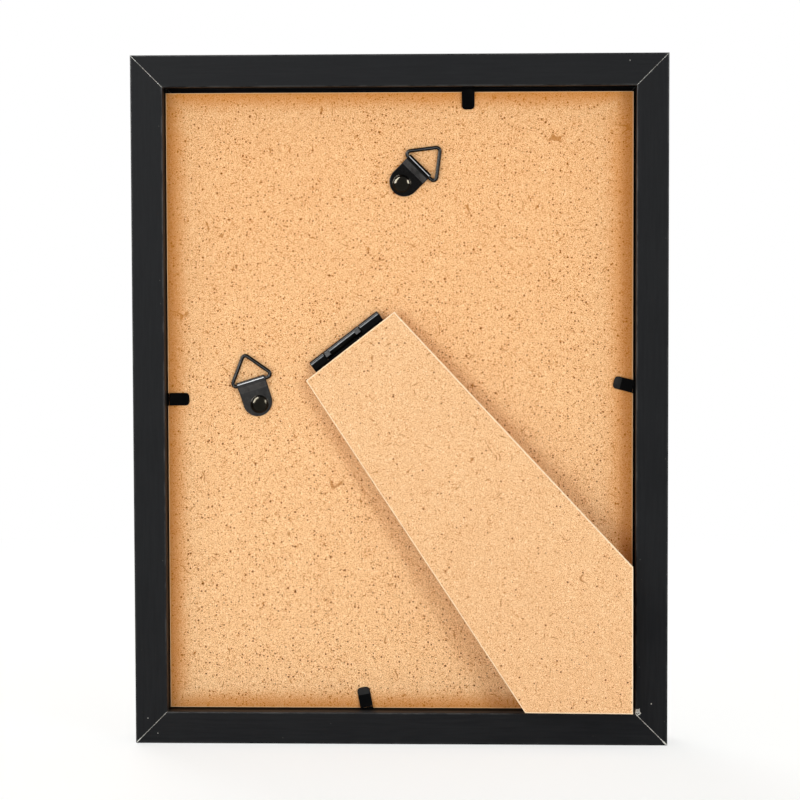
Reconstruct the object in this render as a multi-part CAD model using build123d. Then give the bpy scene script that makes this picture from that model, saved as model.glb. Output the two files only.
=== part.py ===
from build123d import *
import os
from math import asin, degrees

# An easel back picture frame, standing upright. X is its width, Z is up and the picture looks
# towards -Y. The back is described as it is seen from behind: u runs to the right, v runs up from
# the middle of the frame, and w comes out of the back panel. Sizes are in millimetres.

# Moulding: four mitred rails of one L-shaped section
FRAME_W = 172.0
FRAME_H = 222.0
FRAME_D = 18.0
LAND_W = 10.3
LIP_W = 5.0
LIP_T = 5.0
LIP_BEVEL = 1.2
EDGE_R = 0.5

# V-shaped nails that pull each mitre together, punched under the surface
V_NAIL_T = 0.5
V_NAIL_LEG = 3.6
V_NAIL_H = 7.0
V_NAIL_SPREAD = 70.0
V_NAIL_FROM_CORNER = 4.0
V_NAIL_SUNK = 1.2
V_NAIL_FIT = 0.03

# Sheets stacked in the rabbet: glass, picture, back panel
GLASS_T = 2.0
INSERT_T = 0.3
PANEL_T = 2.5
SHEET_SIDE_GAP = 0.7
PANEL_LEFT_GAP = 0.15
SHEET_FOOT_GAP = 0.2
SHEET_TOP_GAP = 1.5

# Bendable steel tabs that hold the panel in
TAB_W = 4.1
TAB_T = 0.5
TAB_BURIED = 6.5
TAB_FIT = 0.06
TAB_LIFT = 1.1
TAB_BEND_OUT = 0.85
TAB_BEND_GAP = 0.06
TAB_PRESS_AT = 4.8
TAB_PRESS_GAP = 0.05
TAB_KINK_R = 1.5
TAB_TIP_AT = 7.1
TAB_TIP_RISE = 0.35
TAB_TIP_R = 1.2
TOP_TAB_U = 22.0
LEFT_TAB_V = 0.4
RIGHT_TAB_V = 4.3
RIGHT_TAB_SKEW = 14.0
BOTTOM_TAB_U = -11.2
BOTTOM_TAB_SKEW = 11.0

# Hangers: a folded strap that swivels on one rivet and holds a wire triangle in its roll
STRAP_W = 9.5
STRAP_T = 0.5
STRAP_REACH = 7.6
STRAP_LEAD = 1.0
STRAP_LIFT = 0.05
STRAP_FOLD_GAP = 0.05
STRAP_FOLD_RUN = 2.6
STRAP_FOLD_R = 0.6
RING_WIRE_R = 0.6
RING_FIT = 0.05
RING_BASE = 14.8
RING_TIP = 9.5
RING_CORNER_R = 1.1
RING_BUTT_GAP = 0.3
RING_REST_GAP = 0.06
RING_SLIDE = -0.4
HANGER_RIVET_R = 1.5
HANGER_RIVET_FIT = 0.05
HANGER_HEAD_R = 2.95
HANGER_HEAD_H = 1.6
HANGER_TAIL_R = 2.6
TAIL_T = 0.5
TAIL_SUNK = 0.1
TAIL_FIT = 0.2
PORTRAIT_HANGER_U = 0.6
PORTRAIT_HANGER_INSET = 30.8
PORTRAIT_HANGER_TURN = 45.0
PORTRAIT_STRAP_OFF = -0.15
LANDSCAPE_HANGER_INSET = 30.0
LANDSCAPE_HANGER_V = -1.2
LANDSCAPE_HANGER_TURN = 107.3
LANDSCAPE_STRAP_OFF = 0.4

# Hinge between panel and strut, a loose pin through three knuckles
HINGE_U = -17.7
HINGE_V = 19.5
HINGE_TILT = 37.3
HINGE_L = 27.5
LEAF_L = 17.0
LEAF_T = 0.6
LEAF_CORNER_R = 2.0
KNUCKLE_R = 1.4
KNUCKLE_GAP = 0.15
LEFT_KNUCKLE_L = 5.5
RIGHT_KNUCKLE_L = 7.7
LEAF_NOTCH_GAP = 0.35
PIN_R = 0.7
PIN_FIT = 0.05
PIN_SHORT = 0.2
STOP_L = 1.9
STOP_FIT = 0.06
STOP_HEEL = 0.2
OPEN_ANGLE = 32.0
AJAR_ANGLE = 4.0
BASE_RIVET_R = 1.2
BASE_RIVET_FIT = 0.05
BASE_HEAD_R = 2.2
BASE_HEAD_T = 0.5
BASE_TAIL_R = 2.1
BASE_RIVET_AT = 6.5
BASE_RIVET_SPACING = 16.0
TACK_R = 1.0
TACK_FIT = 0.05
TACK_HEAD_R = 1.9
TACK_HEAD_T = 0.4
TACK_DEPTH = 1.8
TACK_AT = 12.5
TACK_SPACING = 18.0

# Strut, cut so that its corner stands on either of two edges
STRUT_T = 2.5
STRUT_TOP_W = 36.1
STRUT_TOP_OFF = 0.25
STRUT_TOP_GAP = 2.8
STRUT_TOP_SKEW = 0.3
STRUT_WALL_GAP = 0.7
STRUT_FOOT_W = 34.4
STRUT_SIDE_H = 47.0
STRUT_EASE = 0.25

# Places that follow from the sizes above
FACE_W = LAND_W + LIP_W
INNER_U = FRAME_W / 2 - LAND_W
INNER_V = FRAME_H / 2 - LAND_W
FRONT_Y = -FRAME_D / 2
GLASS_Y = FRONT_Y + LIP_T
INSERT_Y = GLASS_Y + GLASS_T
PANEL_Y = INSERT_Y + INSERT_T
PANEL_REAR_Y = PANEL_Y + PANEL_T
BACK = Plane(origin=(0, PANEL_REAR_Y, FRAME_H / 2), x_dir=(-1, 0, 0), z_dir=(0, 1, 0))
FRONT = Plane(origin=(0, FRONT_Y, FRAME_H / 2), x_dir=(-1, 0, 0), z_dir=(0, 1, 0))

STRAP_STACK = 2 * STRAP_T + STRAP_FOLD_GAP
ROLL_IN_R = RING_WIRE_R + RING_FIT
ROLL_MID_R = ROLL_IN_R + STRAP_T / 2
ROLL_H = STRAP_LIFT + STRAP_T + ROLL_IN_R
RING_DROP = degrees(asin((ROLL_H - RING_WIRE_R - RING_REST_GAP) / RING_TIP))
KNUCKLE_BORE_R = PIN_R + PIN_FIT
NOTCH_AT = KNUCKLE_R + LEAF_NOTCH_GAP
MIDDLE_KNUCKLE_L = HINGE_L - LEFT_KNUCKLE_L - RIGHT_KNUCKLE_L - 2 * KNUCKLE_GAP
MIDDLE_KNUCKLE_AT = (LEFT_KNUCKLE_L - RIGHT_KNUCKLE_L) / 2
STRUT_UNDER = 2 * KNUCKLE_R
MITRE_ANGLE = 45.0
LOW = (Align.CENTER, Align.CENTER, Align.MIN)
FROM_LEFT = (Align.MIN, Align.CENTER, Align.CENTER)


def on_back(u, v, turn=0.0):
    """The place on the panel's back at u, v, with its x axis turned anticlockwise from u."""
    return BACK.location * Location((u, v, 0), (0, 0, turn))


HINGE = on_back(HINGE_U, HINGE_V, HINGE_TILT)
HINGE_AXIS = Axis((HINGE * Pos(0, 0, KNUCKLE_R)).position, -Plane(HINGE).x_dir)
TAB_PLACES = {
    "top": on_back(TOP_TAB_U, INNER_V, -90),
    "right": on_back(INNER_U, RIGHT_TAB_V, 180 - RIGHT_TAB_SKEW),
    "bottom": on_back(BOTTOM_TAB_U, -INNER_V, 90 + BOTTOM_TAB_SKEW),
    "left": on_back(-INNER_U, LEFT_TAB_V, 0),
}
HANGER_PLACES = {
    "portrait": on_back(PORTRAIT_HANGER_U, INNER_V - PORTRAIT_HANGER_INSET, PORTRAIT_HANGER_TURN),
    "landscape": on_back(LANDSCAPE_HANGER_INSET - INNER_U, LANDSCAPE_HANGER_V, LANDSCAPE_HANGER_TURN),
}
STRAP_OFF = {"portrait": PORTRAIT_STRAP_OFF, "landscape": LANDSCAPE_STRAP_OFF}
BASE_RIVET_PLACES = [HINGE * Pos(side * BASE_RIVET_SPACING / 2, -BASE_RIVET_AT, 0) for side in (-1, 1)]
TACK_PLACES = [HINGE * Pos(side * TACK_SPACING / 2, -TACK_AT, STRUT_UNDER) for side in (-1, 1)]


def bent_sheet(path, thickness, width):
    """A strip of sheet metal whose middle follows a path in the x-z plane, centred on y = 0."""
    outline = path.offset_2d(thickness / 2, kind=Kind.ARC, side=Side.BOTH)
    return extrude(Plane.XZ * make_face(outline), width / 2, both=True)


def rivet(shank_r, head, grip, tail_r):
    """A rivet whose head sits on z = 0 and whose clinched tail spreads at the far end of its grip."""
    shank = Pos(0, 0, -grip) * Cylinder(shank_r, grip, align=LOW)
    tail = Pos(0, 0, -grip) * Cylinder(tail_r, TAIL_T, align=LOW)
    return head + shank + tail


def rivet_hole(shank_r, fit, tail_r):
    """The hole for a rivet through the panel, with a sunk seat for its tail on the picture side."""
    hole = Pos(0, 0, -PANEL_T) * Cylinder(shank_r + fit, PANEL_T, align=LOW)
    seat = Pos(0, 0, -PANEL_T) * Cylinder(tail_r + TAIL_FIT, TAIL_T + TAIL_SUNK, align=LOW)
    return hole + seat


def v_nail(fit=0.0):
    """One V-nail at the lower left corner, seen from behind, or its pocket with a fit all round."""
    height = V_NAIL_H + 2 * fit
    leg = Box(V_NAIL_LEG + fit, V_NAIL_T + 2 * fit, height, align=(Align.MIN, Align.CENTER, Align.MAX))
    nail = Cylinder(V_NAIL_T / 2 + fit, height, align=(Align.CENTER, Align.CENTER, Align.MAX))
    for side in (-1, 1):
        nail += Rotation(0, 0, MITRE_ANGLE + side * V_NAIL_SPREAD / 2) * leg
    return Pos(V_NAIL_FROM_CORNER, V_NAIL_FROM_CORNER, FRAME_D - V_NAIL_SUNK + fit) * nail


def v_nails(fit=0.0):
    """The four nails, or their pockets, each turned into its own corner."""
    nails = []
    for side_u, side_v, turn in ((-1, -1, 0), (1, -1, 90), (1, 1, 180), (-1, 1, 270)):
        corner = Location((side_u * FRAME_W / 2, side_v * FRAME_H / 2, 0), (0, 0, turn))
        nails.append(FRONT.location * corner * v_nail(fit))
    return nails


def tab_slot():
    """The slot that a tab is driven into, with its mouth at x = 0 on the rabbet wall."""
    length = TAB_BURIED + TAB_FIT + TAB_BEND_OUT
    slot = Box(length, TAB_W + 2 * TAB_FIT, TAB_T + 2 * TAB_FIT, align=FROM_LEFT)
    return Pos(-TAB_BURIED - TAB_FIT, 0, TAB_LIFT) * slot


def rail(length, reach, turn, tab):
    """A rail with mitred ends, turned about the frame's middle, with the slot of its own tab."""
    corners = [
        (0, 0),
        (FACE_W - LIP_BEVEL, 0),
        (FACE_W, LIP_BEVEL),
        (FACE_W, LIP_T),
        (LAND_W, LIP_T),
        (LAND_W, FRAME_D),
        (0, FRAME_D),
    ]
    section = make_face(Polyline(*corners, close=True))
    section = fillet(section.vertices().group_by(Axis.X)[0], EDGE_R)
    section = fillet(section.vertices().group_by(Axis.Y)[-1].sort_by(Axis.X)[-1], EDGE_R)
    long_half = length / 2
    bar = extrude(Plane.YZ * section, long_half, both=True)
    short_half = long_half - FACE_W
    outer_edge = [(-long_half, 0), (long_half, 0)]
    inner_edge = [(short_half, FACE_W), (-short_half, FACE_W)]
    bar = bar & extrude(make_face(Polyline(*outer_edge, *inner_edge, close=True)), FRAME_D)
    bar = FRONT.location * Rotation(0, 0, turn) * Pos(0, -reach, 0) * bar
    return bar - TAB_PLACES[tab] * tab_slot() - v_nails(V_NAIL_FIT)


def sheet(front_y, thickness, left_gap=SHEET_SIDE_GAP):
    """One sheet of the stack on the lower rail, with the same gaps as the others but its left one."""
    width = 2 * INNER_U - SHEET_SIDE_GAP - left_gap
    height = 2 * INNER_V - SHEET_FOOT_GAP - SHEET_TOP_GAP
    board = Box(width, thickness, height, align=(Align.MAX, Align.MIN, Align.MIN))
    return Pos(INNER_U - left_gap, front_y, LAND_W + SHEET_FOOT_GAP) * board


def back_panel():
    """The board, cut wider to the left, drilled for the hanger rivets and for those of the hinge."""
    panel = sheet(PANEL_Y, PANEL_T, PANEL_LEFT_GAP)
    for place in HANGER_PLACES.values():
        panel -= place * rivet_hole(HANGER_RIVET_R, HANGER_RIVET_FIT, HANGER_TAIL_R)
    for place in BASE_RIVET_PLACES:
        panel -= place * rivet_hole(BASE_RIVET_R, BASE_RIVET_FIT, BASE_TAIL_R)
    return panel


def tab_anchor():
    """The part of a tab inside the rail, up to the line where the tab bends."""
    length = TAB_BURIED + TAB_BEND_OUT - TAB_T / 2 - TAB_BEND_GAP
    return Pos(-TAB_BURIED, 0, TAB_LIFT) * Box(length, TAB_W, TAB_T, align=FROM_LEFT)


def tab_tongue():
    """The free part of a tab: down from its bend to the panel, then up a little at the tip."""
    press_h = TAB_T / 2 + TAB_PRESS_GAP
    bend = (TAB_BEND_OUT, TAB_LIFT)
    tip = (TAB_TIP_AT, press_h + TAB_TIP_RISE)
    path = FilletPolyline(bend, (TAB_PRESS_AT, press_h), tip, radius=TAB_KINK_R)
    strip = bent_sheet(Wire(path.edges()), TAB_T, TAB_W)
    length = TAB_TIP_AT + TAB_T
    plan = Pos(length / 2, 0) * Rectangle(length, TAB_W)
    plan = fillet(plan.vertices().group_by(Axis.X)[-1], TAB_TIP_R)
    return strip & extrude(plan, TAB_LIFT + TAB_T)


def strap(off):
    """A strip folded double round the ring's wire, punched off its middle for the rivet at the origin."""
    low_h = STRAP_LIFT + STRAP_T / 2
    high_h = low_h + STRAP_T + STRAP_FOLD_GAP
    end_x = STRAP_LEAD - STRAP_W / 2 - STRAP_T
    top_h = ROLL_H + ROLL_MID_R
    roll_top = (STRAP_REACH, top_h)
    brow = (STRAP_REACH - ROLL_MID_R, top_h)
    shoulder = (STRAP_REACH - STRAP_FOLD_RUN, high_h)
    lower = Line((end_x, low_h), (STRAP_REACH, low_h))
    roll = ThreePointArc((STRAP_REACH, low_h), (STRAP_REACH + ROLL_MID_R, ROLL_H), roll_top)
    ramp = FilletPolyline(roll_top, brow, shoulder, (end_x, high_h), radius=STRAP_FOLD_R)
    strip = bent_sheet(Wire(lower.edges() + roll.edges() + ramp.edges()), STRAP_T, STRAP_W)
    reach = STRAP_REACH + ROLL_MID_R + STRAP_T
    straight = reach - STRAP_LEAD
    plan = Circle(STRAP_W / 2) + Pos(straight / 2, 0) * Rectangle(straight, STRAP_W)
    plan = Pos(STRAP_LEAD, off) * plan - Circle(HANGER_RIVET_R + HANGER_RIVET_FIT)
    return (Pos(0, off, 0) * strip) & extrude(plan, top_h + STRAP_T)


def ring(off):
    """A wire triangle whose butted base lies in the strap's roll, slid to one end, tip on the panel."""
    path = FilletPolyline(
        (0, RING_BUTT_GAP / 2),
        (0, RING_BASE / 2),
        (RING_TIP, 0),
        (0, -RING_BASE / 2),
        (0, -RING_BUTT_GAP / 2),
        radius=RING_CORNER_R,
    )
    start = Plane(origin=path @ 0, z_dir=path % 0)
    wire = sweep(start * Circle(RING_WIRE_R), path=path)
    return Pos(STRAP_REACH, off + RING_SLIDE, ROLL_H) * Rotation(0, RING_DROP, 0) * wire


def hanger_rivet():
    """A domed rivet that leaves the strap free to turn under its head."""
    seat = STRAP_LIFT + STRAP_STACK + STRAP_LIFT
    dome_r = (HANGER_HEAD_R**2 + HANGER_HEAD_H**2) / (2 * HANGER_HEAD_H)
    dome = Pos(0, 0, HANGER_HEAD_H - dome_r) * Sphere(dome_r)
    head = dome & Cylinder(dome_r, HANGER_HEAD_H, align=LOW)
    return Pos(0, 0, seat) * rivet(HANGER_RIVET_R, head, seat + PANEL_T - TAIL_SUNK, HANGER_TAIL_R)


def along_hinge(radius, length, centre):
    """A round bar on the hinge axis, with its middle at a distance along it."""
    return Pos(centre, 0, KNUCKLE_R) * Rotation(0, 90, 0) * Cylinder(radius, length)


def knuckle(length, centre):
    """One rolled knuckle with the strip that runs into it from its leaf, bored for the pin."""
    strip = Pos(centre, -NOTCH_AT / 2, 0) * Box(length, NOTCH_AT, LEAF_T, align=LOW)
    return along_hinge(KNUCKLE_R, length, centre) + strip - along_hinge(KNUCKLE_BORE_R, length, centre)


def leaf_plate():
    """The flat of a leaf, from the notch line to its rounded end, lying on z = 0."""
    plan = Pos(0, -(LEAF_L + NOTCH_AT) / 2) * Rectangle(HINGE_L, LEAF_L - NOTCH_AT)
    plan = fillet(plan.vertices().group_by(Axis.Y)[0], LEAF_CORNER_R)
    return extrude(plan, LEAF_T)


def stop_lug(centre):
    """A lug on the middle knuckle that the other leaf's notch meets when the strut is fully open."""
    reach = NOTCH_AT - STOP_FIT - STOP_HEEL
    lug = Box(STOP_L, reach, KNUCKLE_R, align=(Align.CENTER, Align.MAX, Align.MIN))
    lug = Rotation(-OPEN_ANGLE, 0, 0) * Pos(centre, -STOP_HEEL, 0) * lug
    return Pos(0, 0, KNUCKLE_R) * lug - along_hinge(KNUCKLE_BORE_R, STOP_L, centre)


def hinge_base_leaf():
    """The leaf on the panel, which holds the middle knuckle and its two stop lugs."""
    leaf = leaf_plate() + knuckle(MIDDLE_KNUCKLE_L, MIDDLE_KNUCKLE_AT)
    for side in (-1, 1):
        leaf += stop_lug(MIDDLE_KNUCKLE_AT + side * (MIDDLE_KNUCKLE_L - STOP_L) / 2)
    leaf = HINGE * leaf
    for place in BASE_RIVET_PLACES:
        leaf -= place * Cylinder(BASE_RIVET_R + BASE_RIVET_FIT, LEAF_T, align=LOW)
    return leaf


def swing(piece):
    """Open a piece of the folded strut to the angle at which it rests."""
    return piece.rotate(HINGE_AXIS, AJAR_ANGLE)


def hinge_strut_leaf():
    """The leaf under the strut, which holds the two outer knuckles."""
    leaf = leaf_plate()
    for side, length in ((-1, LEFT_KNUCKLE_L), (1, RIGHT_KNUCKLE_L)):
        leaf += knuckle(length, side * (HINGE_L - length) / 2)
    leaf = HINGE * Pos(0, 0, STRUT_UNDER) * mirror(leaf, Plane.XY)
    for place in TACK_PLACES:
        leaf -= place * Pos(0, 0, -LEAF_T) * Cylinder(TACK_R + TACK_FIT, LEAF_T, align=LOW)
    return swing(leaf)


def hinge_pin():
    """The loose pin through all three knuckles."""
    return HINGE * along_hinge(PIN_R, HINGE_L - 2 * PIN_SHORT, 0)


def base_leaf_rivets():
    """Two flat rivets that fix the leaf to the panel."""
    head = Cylinder(BASE_HEAD_R, BASE_HEAD_T, align=LOW)
    one = Pos(0, 0, LEAF_T) * rivet(BASE_RIVET_R, head, LEAF_T + PANEL_T - TAIL_SUNK, BASE_TAIL_R)
    return [place * one for place in BASE_RIVET_PLACES]


def strut_leaf_tacks():
    """Two tacks driven through the leaf into the strut, short of its outer face."""
    head = Pos(0, 0, -LEAF_T - TACK_HEAD_T) * Cylinder(TACK_HEAD_R, TACK_HEAD_T, align=LOW)
    shank = Pos(0, 0, -LEAF_T) * Cylinder(TACK_R, LEAF_T + TACK_DEPTH, align=LOW)
    return [swing(place * (head + shank)) for place in TACK_PLACES]


def easel_strut():
    """A tapered board from the hinge to the frame's lower right corner, seen from behind."""
    middle = Location((HINGE_U, HINGE_V, 0), (0, 0, HINGE_TILT))
    top_left = (middle * Pos(STRUT_TOP_OFF - STRUT_TOP_W / 2, -STRUT_TOP_GAP)).position
    top_right = (middle * Pos(STRUT_TOP_OFF + STRUT_TOP_W / 2, STRUT_TOP_SKEW - STRUT_TOP_GAP)).position
    side_u = INNER_U - STRUT_WALL_GAP
    foot_v = STRUT_WALL_GAP - INNER_V
    outline = Polyline(
        (top_left.X, top_left.Y),
        (top_right.X, top_right.Y),
        (side_u, foot_v + STRUT_SIDE_H),
        (side_u, foot_v),
        (side_u - STRUT_FOOT_W, foot_v),
        close=True,
    )
    board = Pos(0, 0, STRUT_UNDER) * extrude(make_face(outline), STRUT_T)
    faces = board.faces().sort_by(Axis.Z)
    board = chamfer(faces[0].edges() + faces[-1].edges(), STRUT_EASE)
    board = BACK.location * board
    for place in TACK_PLACES:
        board -= place * Cylinder(TACK_R + TACK_FIT, TACK_DEPTH + TACK_FIT, align=LOW)
    return swing(board)


nodes = {
    "bottom_rail": rail(FRAME_W, FRAME_H / 2, 0, "bottom"),
    "right_rail": rail(FRAME_H, FRAME_W / 2, 90, "right"),
    "top_rail": rail(FRAME_W, FRAME_H / 2, 180, "top"),
    "left_rail": rail(FRAME_H, FRAME_W / 2, 270, "left"),
    "corner_v_nails": v_nails(),
    "glass_pane": sheet(GLASS_Y, GLASS_T),
    "photo_insert": sheet(INSERT_Y, INSERT_T),
    "back_panel": back_panel(),
    "tab_anchors": [place * tab_anchor() for place in TAB_PLACES.values()],
    "hinge_base_leaf": hinge_base_leaf(),
    "base_leaf_rivets": base_leaf_rivets(),
    "hinge_pin": hinge_pin(),
    "hinge_strut_leaf": hinge_strut_leaf(),
    "strut_leaf_tacks": strut_leaf_tacks(),
    "easel_strut": easel_strut(),
}
for side, place in TAB_PLACES.items():
    nodes[side + "_tab"] = place * tab_tongue()
for use, place in HANGER_PLACES.items():
    nodes[use + "_hanger_rivet"] = place * hanger_rivet()
    nodes[use + "_hanger_strap"] = place * strap(STRAP_OFF[use])
    nodes[use + "_hanger_ring"] = place * ring(STRAP_OFF[use])

os.makedirs("parts", exist_ok=True)
for name, shape in nodes.items():
    solids = shape if isinstance(shape, list) else [shape]
    export_step(Compound(children=solids) if len(solids) > 1 else solids[0], f"parts/{name}.step")
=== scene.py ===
from math import asin, cos, pi, radians, sin

import bmesh
import bpy
import numpy as np
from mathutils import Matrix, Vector


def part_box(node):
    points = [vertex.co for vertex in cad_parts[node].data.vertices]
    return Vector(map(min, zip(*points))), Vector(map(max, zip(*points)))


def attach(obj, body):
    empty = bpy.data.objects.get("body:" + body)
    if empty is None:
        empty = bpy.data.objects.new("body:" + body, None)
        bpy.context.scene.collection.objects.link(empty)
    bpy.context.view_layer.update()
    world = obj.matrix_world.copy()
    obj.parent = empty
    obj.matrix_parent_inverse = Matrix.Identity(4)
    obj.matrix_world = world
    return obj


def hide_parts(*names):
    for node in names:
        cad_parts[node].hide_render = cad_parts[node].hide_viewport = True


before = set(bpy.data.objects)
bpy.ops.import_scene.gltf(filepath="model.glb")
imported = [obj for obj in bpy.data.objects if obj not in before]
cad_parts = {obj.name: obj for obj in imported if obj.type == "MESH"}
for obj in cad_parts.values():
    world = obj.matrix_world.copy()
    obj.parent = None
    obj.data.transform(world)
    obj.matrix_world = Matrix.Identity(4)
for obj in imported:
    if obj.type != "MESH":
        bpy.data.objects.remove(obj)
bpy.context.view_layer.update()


# Rails: four mitred lengths of fibreboard moulding wrapped in black satin foil, glued and nailed
# at the corners. The foil is worn paler along its edges and raw board shows at the cut ends. The
# rabbet wall below a line half way down is painted shade: black, with its gloss turned down.
MM = 0.001
HALF_W, HALF_H, LAND, FRONT_LAND = 86.0, 111.0, 10.3, 14.1
REAR_FACE, WALL_SHADE_LINE = 9.0, 4.6
RUB_REACH, RUB_DEPTH = 0.75, 0.5
SAW_TEAR, FOIL_SHINE, WALL_SHADE_SHINE = 0.36, 0.07, 0.01
FOIL_DARK, FOIL_PALE = (0.0054, 0.0054, 0.0061, 1), (0.0094, 0.0092, 0.0098, 1)
RUBBED, RAW_EDGE = (0.034, 0.032, 0.031, 1), (0.13, 0.115, 0.10, 1)
# Black of the painted shade on the lower rabbet wall.
WALL_SHADE_BLACK = (0.002, 0.002, 0.002, 1)


def add(tree, kind, inputs=None, **settings):
    """One shader node. Settings are its own choices, and an input is a value or another's output."""
    made = tree.nodes.new("ShaderNode" + kind)
    for name, choice in settings.items():
        setattr(made, name, choice)
    for name, value in (inputs or {}).items():
        if isinstance(value, bpy.types.NodeSocket):
            tree.links.new(value, made.inputs[name])
        else:
            made.inputs[name].default_value = value
    return made


def new_material(name):
    """A new material with its tree, its main shader and its object coordinates."""
    material = bpy.data.materials.new(name)
    material.use_nodes = True
    tree = material.node_tree
    return material, tree, tree.nodes["Principled BSDF"], add(tree, "TexCoord").outputs["Object"]


def reckon(tree, operation, *values):
    """One step of arithmetic on one to three values."""
    return add(tree, "Math", dict(enumerate(values)), operation=operation).outputs[0]


def ramp(tree, value, start, end, low=0.0, high=1.0):
    """A smooth step from low to high as the value goes from start to end."""
    inputs = {"Value": value, "From Min": start, "From Max": end, "To Min": low, "To Max": high}
    return add(tree, "MapRange", inputs, interpolation_type="SMOOTHSTEP").outputs["Result"]


def blend(tree, share, first, second):
    """A colour between two, at a share from 0 to 1."""
    return add(tree, "Mix", {0: share, 6: first, 7: second}, data_type="RGBA").outputs[2]


def stretched(tree, coords, scale, turn=0.0):
    """Coordinates turned about the frame's depth, then scaled along each axis."""
    turned_coords = add(tree, "VectorRotate", {"Vector": coords, "Axis": (0, 1, 0), "Angle": turn})
    inputs = {0: turned_coords.outputs[0], 1: scale}
    return add(tree, "VectorMath", inputs, operation="MULTIPLY").outputs[0]


def noise(tree, coords, scale, detail=2.0, roughness=0.5, output="Fac"):
    """Soft noise with about that many lumps to a metre."""
    inputs = {"Vector": coords, "Scale": scale, "Detail": detail, "Roughness": roughness}
    return add(tree, "TexNoise", inputs).outputs[output]


def relief(tree, shader, height, depth, strength=1.0):
    """Gives a shader a relief of that depth in millimetres."""
    inputs = {"Height": height, "Distance": depth * MM, "Strength": strength}
    tree.links.new(add(tree, "Bump", inputs).outputs["Normal"], shader.inputs["Normal"])


def specks(tree, coords, scale, rarity, size):
    """Separate dots seen from behind: only cells whose chance is past the rarity hold one, and those
    vary in size."""
    upright = add(tree, "VectorRotate", {"Vector": coords, "Axis": (1, 0, 0), "Angle": pi / 2})
    inputs = {"Vector": upright.outputs[0], "Scale": scale}
    cell = add(tree, "TexVoronoi", inputs, voronoi_dimensions="2D")
    chance = add(tree, "SeparateColor", {"Color": cell.outputs["Color"]}).outputs["Red"]
    reach = ramp(tree, chance, rarity, 1.0, 0.0, size)
    return ramp(tree, reckon(tree, "SUBTRACT", reach, cell.outputs["Distance"]), 0.0, size * 0.5)


def foil(name, grain):
    """Satin foil: streaks along the rail, arrises worn paler, raw cut edges where two rails meet, and
    painted shade, black with little gloss, on the rabbet wall from half way down."""
    material, tree, shader, coords = new_material(name)
    place = add(tree, "SeparateXYZ", {"Vector": coords}).outputs
    height = reckon(tree, "ABSOLUTE", reckon(tree, "SUBTRACT", place["Z"], HALF_H * MM))
    from_side = reckon(tree, "SUBTRACT", HALF_W * MM, reckon(tree, "ABSOLUTE", place["X"]))
    from_end = reckon(tree, "SUBTRACT", HALF_H * MM, height)
    inwards = reckon(tree, "MINIMUM", from_side, from_end)

    streaks = noise(tree, stretched(tree, coords, grain), 1.0, 4.0, 0.6)
    clouds = noise(tree, coords, 45.0, 3.0)
    tone = reckon(tree, "MULTIPLY_ADD", streaks, 0.6, reckon(tree, "MULTIPLY", clouds, 0.4))
    colour = blend(tree, ramp(tree, tone, 0.34, 0.66), FOIL_DARK, FOIL_PALE)

    wear = ramp(tree, noise(tree, coords, 160.0, 4.0, 0.65), 0.38, 0.62)
    in_front = reckon(tree, "LESS_THAN", place["Y"], 0.0)
    inner = reckon(tree, "MULTIPLY_ADD", in_front, (FRONT_LAND - LAND) * MM, LAND * MM)
    to_inner = reckon(tree, "ABSOLUTE", reckon(tree, "SUBTRACT", inwards, inner))
    near_arris = ramp(tree, reckon(tree, "MINIMUM", to_inner, inwards), RUB_REACH * MM, 0.1 * MM)
    depth = reckon(tree, "ABSOLUTE", place["Y"])
    near_face = ramp(tree, depth, (REAR_FACE - RUB_DEPTH) * MM, (REAR_FACE - 0.15) * MM)
    rub = reckon(tree, "MULTIPLY", reckon(tree, "MULTIPLY", near_arris, near_face), wear)
    colour = blend(tree, rub, colour, RUBBED)

    off_mitre = reckon(tree, "ABSOLUTE", reckon(tree, "SUBTRACT", from_side, from_end))
    ragged = reckon(tree, "MULTIPLY", noise(tree, coords, 900.0, 3.0), SAW_TEAR * MM)
    cut = ramp(tree, reckon(tree, "SUBTRACT", ragged, off_mitre), 0.0, 0.09 * MM, 0.0, 0.75)
    colour = blend(tree, cut, colour, RAW_EDGE)
    dust = specks(tree, coords, 130.0, 0.8, 0.03)
    colour = blend(tree, reckon(tree, "MULTIPLY", dust, 0.35), colour, RAW_EDGE)

    # Painted shade: the rabbet wall below a line is black with its gloss turned down, as the crevice is in
    # shade.
    on_wall = ramp(tree, inwards, (LAND - 0.3) * MM, (LAND - 0.1) * MM)
    inside = reckon(tree, "MULTIPLY", on_wall, reckon(tree, "GREATER_THAN", place["Y"], 0.0))
    below_shade_line = ramp(tree, place["Y"], (WALL_SHADE_LINE + 0.5) * MM, WALL_SHADE_LINE * MM)
    painted = reckon(tree, "MULTIPLY", inside, below_shade_line)
    colour = blend(tree, painted, colour, WALL_SHADE_BLACK)

    tree.links.new(colour, shader.inputs["Base Color"])
    tree.links.new(ramp(tree, tone, 0.3, 0.7, 0.60, 0.46), shader.inputs["Roughness"])
    shine = ramp(tree, painted, 0.0, 1.0, FOIL_SHINE, WALL_SHADE_SHINE)
    tree.links.new(shine, shader.inputs["Specular IOR Level"])
    relief(tree, shader, reckon(tree, "ADD", streaks, dust), 0.02, 0.35)
    return material


def dress(node, material):
    """Gives a CAD node its finish."""
    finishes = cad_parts[node].data.materials
    finishes.clear()
    finishes.append(material)


foil_across = foil("foil_across", (70.0, 1100.0, 1100.0))
foil_upright = foil("foil_upright", (1100.0, 1100.0, 70.0))
for name in ("bottom_rail", "top_rail"):
    dress(name, foil_across)
for name in ("left_rail", "right_rail"):
    dress(name, foil_upright)


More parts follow.
